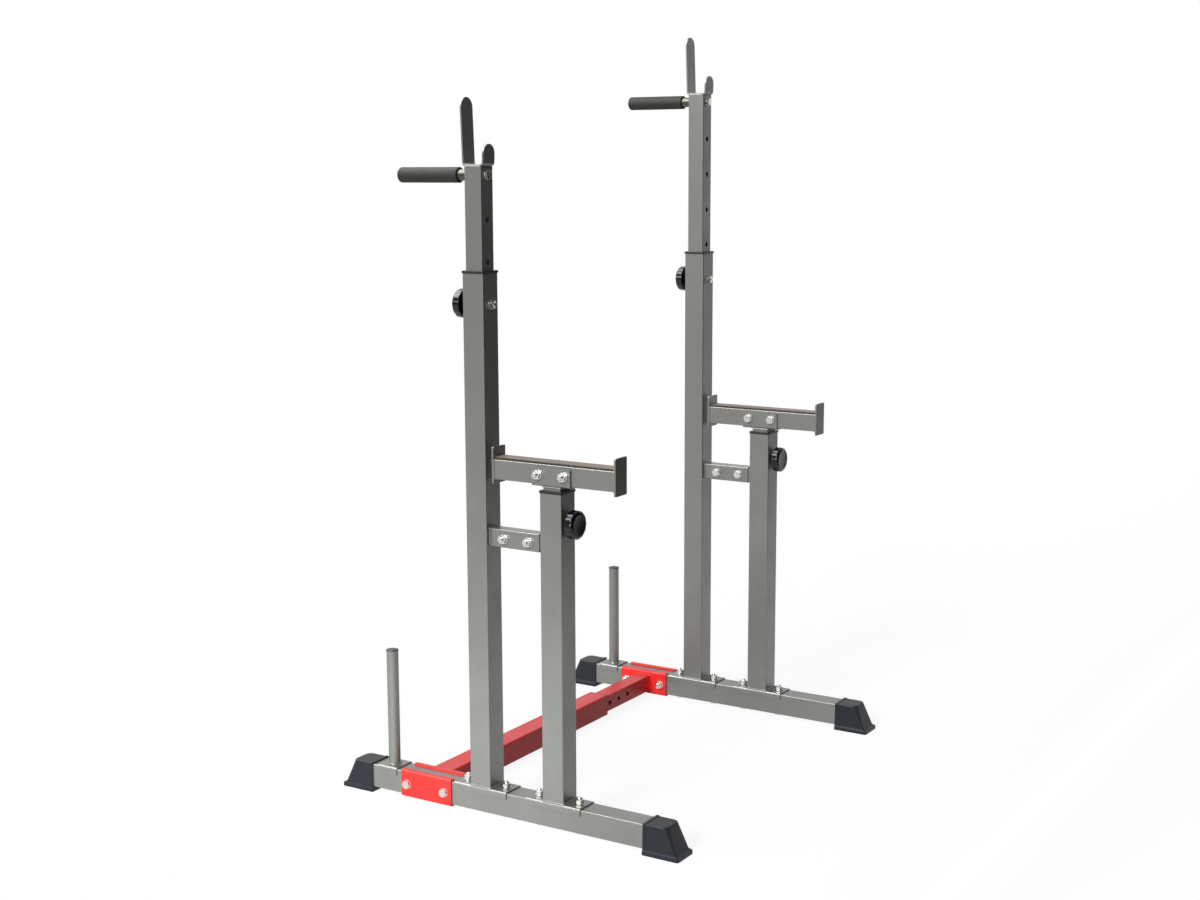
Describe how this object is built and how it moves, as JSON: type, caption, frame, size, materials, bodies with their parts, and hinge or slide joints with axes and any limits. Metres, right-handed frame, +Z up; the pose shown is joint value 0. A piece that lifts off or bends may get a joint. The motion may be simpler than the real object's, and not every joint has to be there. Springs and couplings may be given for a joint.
{
  "type": "squat stand",
  "caption": "Adjustable squat stand: side frames of square tube with telescoping bar catches, dip handles and spotter arms, joined by a telescoping crossbar.",
  "frame": {"origin": "on the floor, in the middle of the footprint", "axes": "+X from the left side frame to the right one along the crossbar, +Y to the rear, where the dip handles point, +Z up"},
  "size_m": [0.9676, 0.83, 1.6159],
  "materials": {
    "grey_paint": "semi-gloss grey powder coat",
    "red_paint": "semi-gloss red powder coat",
    "foot_plastic": "moulded, satin",
    "collar_plastic": "moulded, satin",
    "knob_plastic": "moulded, glossy",
    "foam": "closed-cell foam, matt",
    "rubber_strip": "extruded, matt",
    "zinc": "bright zinc plating"
  },
  "bodies": {
    "left_frame": {"left_base_beam": "grey_paint", "left_front_foot": "foot_plastic", "left_rear_foot": "foot_plastic", "left_storage_peg": "grey_paint", "left_upright_bolt_front": "zinc", "left_upright_bolt_rear": "zinc", "left_post_bolt_front": "zinc", "left_post_bolt_rear": "zinc", "left_clamp_bolt_front": "zinc", "left_clamp_bolt_rear": "zinc", "left_clamp_plate": "red_paint", "left_upright": "grey_paint", "left_upright_collar": "collar_plastic", "left_connector_bolt_rear": "zinc", "left_connector_bolt_front": "zinc", "left_safety_post": "grey_paint", "left_post_collar": "collar_plastic", "crossbar_sleeve": "red_paint", "crossbar_bush": "collar_plastic"},
    "right_frame": {"right_base_beam": "grey_paint", "right_front_foot": "foot_plastic", "right_rear_foot": "foot_plastic", "right_storage_peg": "grey_paint", "right_upright_bolt_front": "zinc", "right_upright_bolt_rear": "zinc", "right_post_bolt_front": "zinc", "right_post_bolt_rear": "zinc", "right_clamp_bolt_front": "zinc", "right_clamp_bolt_rear": "zinc", "right_clamp_plate": "red_paint", "right_upright": "grey_paint", "right_upright_collar": "collar_plastic", "right_connector_bolt_rear": "zinc", "right_connector_bolt_front": "zinc", "right_safety_post": "grey_paint", "right_post_collar": "collar_plastic", "crossbar_slider": "red_paint"},
    "left_mast_unit": {"left_mast": "grey_paint", "left_dip_bar": "zinc", "left_dip_grip": "foam"},
    "right_mast_unit": {"right_mast": "grey_paint", "right_dip_bar": "zinc", "right_dip_grip": "foam"},
    "left_spotter_unit": {"left_safety_stem": "grey_paint", "left_spotter_arm": "grey_paint", "left_spotter_pad": "rubber_strip"},
    "right_spotter_unit": {"right_safety_stem": "grey_paint", "right_spotter_arm": "grey_paint", "right_spotter_pad": "rubber_strip"},
    "left_mast_lock": {"left_upright_stud": "zinc"},
    "left_mast_lock_knob": {"left_upright_knob": "knob_plastic"},
    "right_mast_lock": {"right_upright_stud": "zinc"},
    "right_mast_lock_knob": {"right_upright_knob": "knob_plastic"},
    "left_spotter_lock": {"left_safety_stud": "zinc"},
    "left_spotter_lock_knob": {"left_safety_knob": "knob_plastic"},
    "right_spotter_lock": {"right_safety_stud": "zinc"},
    "right_spotter_lock_knob": {"right_safety_knob": "knob_plastic"},
    "width_lock": {"width_bolt": "zinc"}
  },
  "joints": [
    {"name": "width_slide", "type": "slide", "parent": "left_frame", "child": "right_frame", "axis": [1, 0, 0], "range_m": [-0.12375, 0.12375]},
    {"name": "left_mast_slide", "type": "slide", "parent": "left_frame", "child": "left_mast_unit", "axis": [0, 0, 1], "range_m": [-0.165, 0.33]},
    {"name": "right_mast_slide", "type": "slide", "parent": "right_frame", "child": "right_mast_unit", "axis": [0, 0, 1], "range_m": [-0.33, 0.165]},
    {"name": "left_spotter_slide", "type": "slide", "parent": "left_frame", "child": "left_spotter_unit", "axis": [0, 0, 1], "range_m": [0, 0.2475]},
    {"name": "right_spotter_slide", "type": "slide", "parent": "right_frame", "child": "right_spotter_unit", "axis": [0, 0, 1], "range_m": [0, 0.2475]},
    {"name": "left_mast_lock_pull", "type": "slide", "parent": "left_frame", "child": "left_mast_lock", "axis": [0, 1, 0], "range_m": [0, 0.064]},
    {"name": "left_mast_lock_turn", "type": "hinge", "parent": "left_mast_lock", "child": "left_mast_lock_knob", "pos_m": [-0.446, 0.09, 1.05], "axis": [0, 1, 0], "continuous": true},
    {"name": "right_mast_lock_pull", "type": "slide", "parent": "right_frame", "child": "right_mast_lock", "axis": [0, 1, 0], "range_m": [0, 0.064]},
    {"name": "right_mast_lock_turn", "type": "hinge", "parent": "right_mast_lock", "child": "right_mast_lock_knob", "pos_m": [0.446, 0.09, 1.05], "axis": [0, 1, 0], "continuous": true},
    {"name": "left_spotter_lock_pull", "type": "slide", "parent": "left_frame", "child": "left_spotter_lock", "axis": [0, -1, 0], "range_m": [0, 0.064]},
    {"name": "left_spotter_lock_turn", "type": "hinge", "parent": "left_spotter_lock", "child": "left_spotter_lock_knob", "pos_m": [-0.446, -0.162, 0.6295], "axis": [0, -1, 0], "continuous": true},
    {"name": "right_spotter_lock_pull", "type": "slide", "parent": "right_frame", "child": "right_spotter_lock", "axis": [0, -1, 0], "range_m": [0, 0.064]},
    {"name": "right_spotter_lock_turn", "type": "hinge", "parent": "right_spotter_lock", "child": "right_spotter_lock_knob", "pos_m": [0.446, -0.162, 0.6295], "axis": [0, -1, 0], "continuous": true},
    {"name": "width_lock_pull", "type": "slide", "parent": "left_frame", "child": "width_lock", "axis": [0, 1, 0], "range_m": [0, 0.02]}
  ]
}
